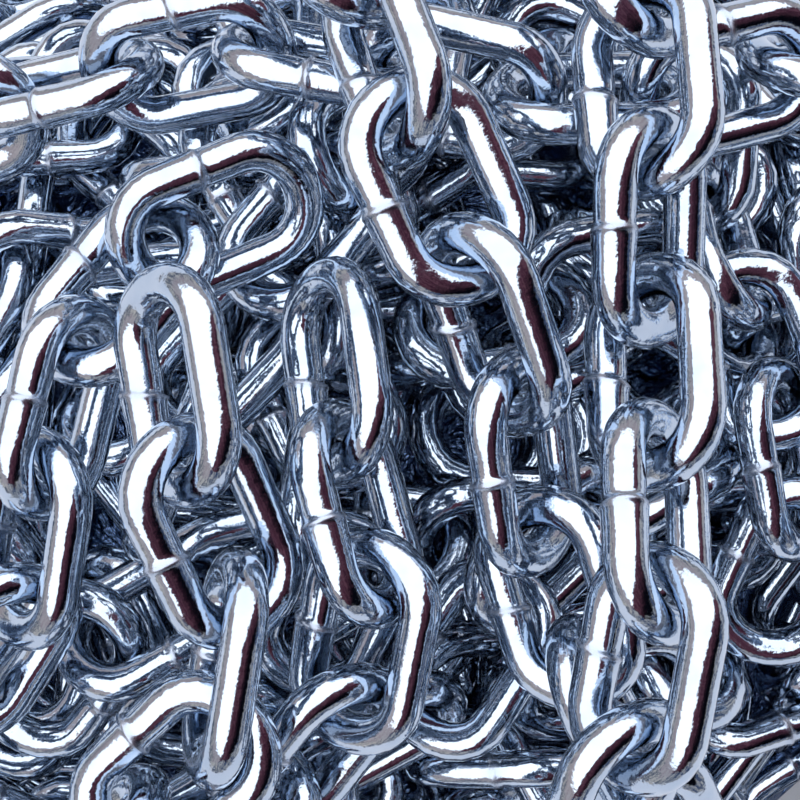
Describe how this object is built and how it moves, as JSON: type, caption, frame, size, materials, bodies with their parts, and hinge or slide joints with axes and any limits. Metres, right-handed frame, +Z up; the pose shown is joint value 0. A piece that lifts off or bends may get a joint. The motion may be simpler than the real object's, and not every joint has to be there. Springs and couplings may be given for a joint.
{
  "type": "heap of steel chain",
  "caption": "Heap of bright zinc-plated welded steel chain: lengths of short oval links, one through the next, lying across each other over a low mound.",
  "frame": {"origin": "on the floor under the middle of the heap", "axes": "+Z up, +X to the right and +Y away in the main view, with the heap's longer side along X"},
  "size_m": [0.31, 0.29, 0.1453],
  "materials": {
    "zinc_plated_steel": "bright zinc plating with a faint blue tint, smooth and mirror-like, with a rough ring at each weld",
    "buried_chain": "the same plated chain in the shade inside the heap"
  },
  "bodies": {
    "root": {"core": "buried_chain", "back_run_link_01": "zinc_plated_steel", "back_run_link_02": "zinc_plated_steel", "back_run_link_03": "zinc_plated_steel", "back_run_link_04": "zinc_plated_steel", "back_run_link_05": "zinc_plated_steel", "back_run_link_06": "zinc_plated_steel", "back_run_link_07": "zinc_plated_steel", "flank_run_link_01": "zinc_plated_steel", "flank_run_link_02": "zinc_plated_steel", "flank_run_link_03": "zinc_plated_steel", "flank_run_link_04": "zinc_plated_steel", "flank_run_link_05": "zinc_plated_steel", "top_run_link_01": "zinc_plated_steel", "top_run_link_02": "zinc_plated_steel", "top_run_link_03": "zinc_plated_steel", "top_run_link_04": "zinc_plated_steel", "top_run_link_05": "zinc_plated_steel", "top_run_link_06": "zinc_plated_steel", "top_run_link_07": "zinc_plated_steel", "top_run_link_08": "zinc_plated_steel", "top_run_link_09": "zinc_plated_steel", "side_run_link_01": "zinc_plated_steel", "side_run_link_02": "zinc_plated_steel", "side_run_link_03": "zinc_plated_steel", "side_run_link_04": "zinc_plated_steel", "side_run_link_05": "zinc_plated_steel", "side_run_link_06": "zinc_plated_steel", "side_run_link_07": "zinc_plated_steel", "left_run_link_01": "zinc_plated_steel", "left_run_link_02": "zinc_plated_steel", "left_run_link_03": "zinc_plated_steel", "left_run_link_04": "zinc_plated_steel", "left_run_link_05": "zinc_plated_steel", "left_run_link_06": "zinc_plated_steel", "hook_run_link_01": "zinc_plated_steel", "hook_run_link_02": "zinc_plated_steel", "hook_run_link_03": "zinc_plated_steel", "hook_run_link_04": "zinc_plated_steel", "hook_run_link_05": "zinc_plated_steel", "middle_run_link_01": "zinc_plated_steel", "middle_run_link_02": "zinc_plated_steel", "middle_run_link_03": "zinc_plated_steel", "middle_run_link_04": "zinc_plated_steel", "middle_run_link_05": "zinc_plated_steel", "middle_run_link_06": "zinc_plated_steel", "middle_run_link_07": "zinc_plated_steel", "middle_run_link_08": "zinc_plated_steel", "middle_run_link_09": "zinc_plated_steel", "middle_run_link_10": "zinc_plated_steel", "right_run_link_01": "zinc_plated_steel", "right_run_link_02": "zinc_plated_steel", "right_run_link_03": "zinc_plated_steel", "right_run_link_04": "zinc_plated_steel", "right_run_link_05": "zinc_plated_steel", "right_run_link_06": "zinc_plated_steel", "right_run_link_07": "zinc_plated_steel", "right_run_link_08": "zinc_plated_steel", "right_run_link_09": "zinc_plated_steel", "right_run_link_10": "zinc_plated_steel"}
  },
  "joints": []
}
